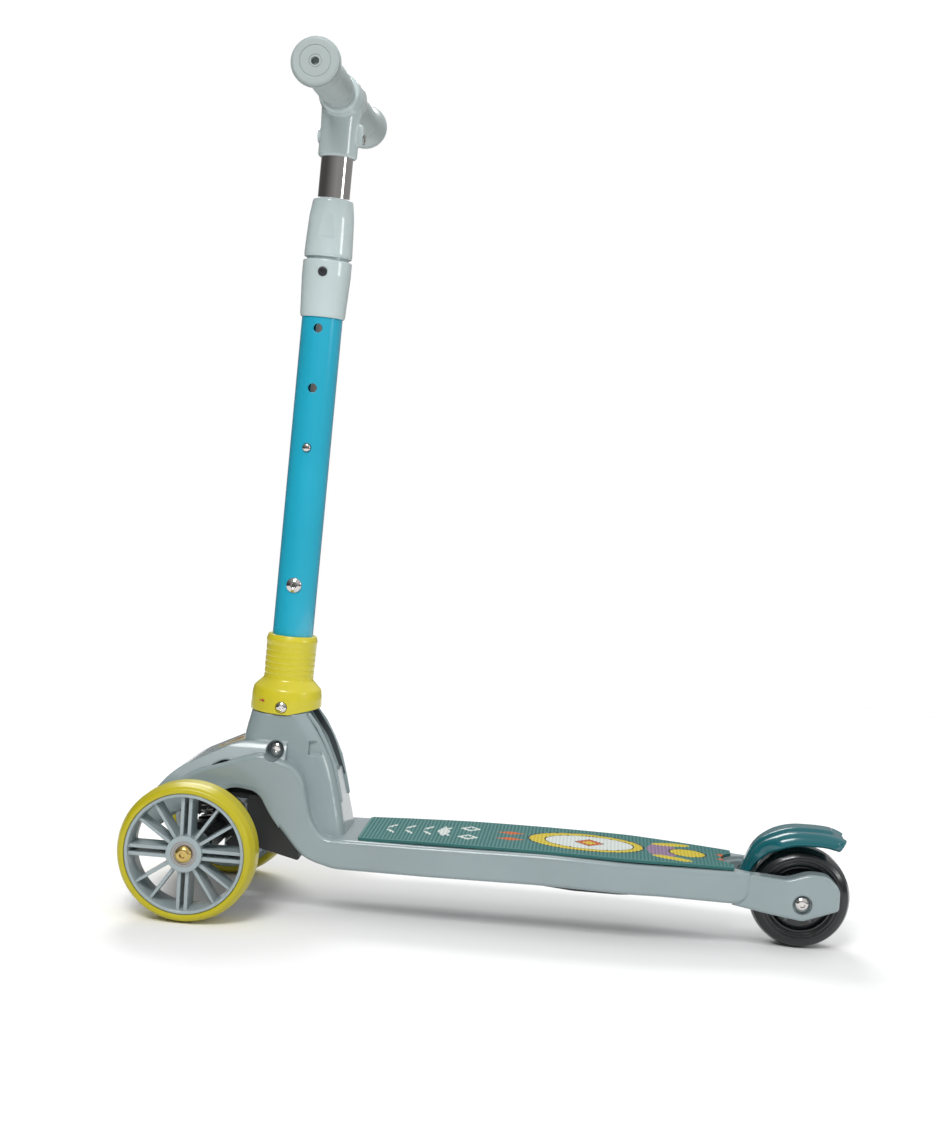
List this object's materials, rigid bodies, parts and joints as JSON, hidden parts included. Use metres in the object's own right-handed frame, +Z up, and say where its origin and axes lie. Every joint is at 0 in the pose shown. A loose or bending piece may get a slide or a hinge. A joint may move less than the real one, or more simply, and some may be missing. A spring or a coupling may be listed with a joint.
{
  "type": "kick scooter",
  "caption": "Children's kick scooter with two spoked front wheels that steer by leaning, a folding telescopic stem and a rear wheel under a foot brake fender.",
  "frame": {"origin": "on the ground, midway between the foremost and rearmost points, on the plane of symmetry", "axes": "+X forward, +Y to the scooter's left, +Z up"},
  "size_m": [0.631, 0.2874, 0.7371],
  "materials": {
    "body_grey": "smooth moulded plastic, satin gloss",
    "trim_grey": "smooth moulded plastic, glossy",
    "grip_grey": "soft-touch moulded grip, satin",
    "wheel_grey": "moulded plastic, satin",
    "tyre_yellow": "cast polyurethane, satin gloss",
    "tyre_black": "cast polyurethane, glossy",
    "black_gloss": "moulded plastic, glossy",
    "black_plastic": "fine grained moulded plastic",
    "dark_grey": "moulded plastic, matt",
    "mat_teal": "printed non-slip sheet with a fine raised pattern",
    "fender_teal": "smooth moulded plastic, high gloss",
    "tube_blue": "powder coated aluminium, glossy",
    "collar_yellow": "moulded plastic, satin gloss",
    "chrome_part": "bright plated steel",
    "steel": "bright zinc or ground steel",
    "dark_steel": "black oxide steel",
    "gold_zinc": "yellow zinc plated steel"
  },
  "bodies": {
    "deck": {"deck_shell": "body_grey", "slot_liner": "dark_grey", "grip_mat": "mat_teal", "belly_plate": "black_plastic", "belly_screws": "steel", "front_housing": "black_plastic", "housing_screws": "steel", "fold_bolt": "chrome_part", "fold_nut": "steel", "king_bolt": "steel", "king_nut": "steel", "lean_springs": "steel", "rear_spacers": "steel", "rear_axle": "chrome_part", "rear_axle_nut": "steel", "fender_pin": "steel"},
    "truck": {"truck_beam": "black_plastic", "king_bushes": "black_plastic", "axle_bolt_left": "gold_zinc", "axle_bolt_right": "gold_zinc"},
    "left_wheel": {"rim_left": "wheel_grey", "tyre_left": "tyre_yellow", "bearings_left": "steel"},
    "right_wheel": {"rim_right": "wheel_grey", "tyre_right": "tyre_yellow", "bearings_right": "steel"},
    "rear_wheel": {"rear_core": "black_gloss", "rear_tyre": "tyre_black", "rear_bearings": "steel"},
    "brake": {"brake_fender": "fender_teal"},
    "stem": {"stem_tube": "tube_blue", "fold_block": "dark_grey", "fold_bush": "gold_zinc", "stem_bolt": "chrome_part", "stem_nut": "steel", "lower_sleeve": "trim_grey", "sleeve_screw": "dark_steel", "clamp_collet": "dark_grey"},
    "collar": {"fold_collar": "collar_yellow", "collar_screws": "chrome_part"},
    "twist_lock": {"clamp_nut": "trim_grey"},
    "mast": {"mast_tube": "chrome_part", "glide_bush": "dark_grey", "snap_spring": "steel", "t_joint": "trim_grey", "t_bolt": "steel", "t_nut": "steel", "handlebar_tube": "steel", "grip_left": "grip_grey", "grip_right": "grip_grey", "end_cap_left": "grip_grey", "end_cap_right": "grip_grey"},
    "button": {"snap_button": "chrome_part"}
  },
  "joints": [
    {"name": "truck_lean", "type": "hinge", "parent": "deck", "child": "truck", "pos_m": [0.243, 0, 0.072], "axis": [0.7071, 0, 0.7071], "range_deg": [-12, 12], "stiffness_Nm_per_rad": 45, "deforming": ["lean_springs"]},
    {"name": "left_wheel_spin", "type": "hinge", "parent": "truck", "child": "left_wheel", "pos_m": [0.2555, 0.089, 0.06], "axis": [0, 1, 0], "continuous": true},
    {"name": "right_wheel_spin", "type": "hinge", "parent": "truck", "child": "right_wheel", "pos_m": [0.2555, -0.089, 0.06], "axis": [0, 1, 0], "continuous": true},
    {"name": "rear_wheel_spin", "type": "hinge", "parent": "deck", "child": "rear_wheel", "pos_m": [-0.2715, 0, 0.044], "axis": [0, 1, 0], "continuous": true},
    {"name": "brake_press", "type": "hinge", "parent": "deck", "child": "brake", "pos_m": [-0.2205, 0, 0.06], "axis": [0, -1, 0], "range_deg": [0, 3.5], "stiffness_Nm_per_rad": 6, "springref_deg": -4.58},
    {"name": "stem_fold", "type": "hinge", "parent": "deck", "child": "stem", "pos_m": [0.1955, 0, 0.142], "axis": [0, -1, 0], "range_deg": [0, 88]},
    {"name": "collar_lift", "type": "slide", "parent": "stem", "child": "collar", "axis": [-0.0349, 0, 0.9994], "range_m": [0, 0.0346]},
    {"name": "twist_lock_turn", "type": "hinge", "parent": "stem", "child": "twist_lock", "pos_m": [0.17945, 0, 0.60172], "axis": [-0.0349, 0, 0.9994], "range_deg": [0, 90]},
    {"name": "height_slide", "type": "slide", "parent": "stem", "child": "mast", "axis": [-0.0349, 0, 0.9994], "range_m": [0, 0.105], "deforming": ["snap_button", "snap_spring"]},
    {"name": "button_press", "type": "slide", "parent": "mast", "child": "button", "axis": [0, -1, 0], "range_m": [0, 0.0045], "stiffness_N_per_m": 500, "springref_m": -0.004}
  ],
  "couplings": [
    {"joint": "collar_lift", "follows": "stem_fold", "m_per_rad": 0.0225}
  ]
}
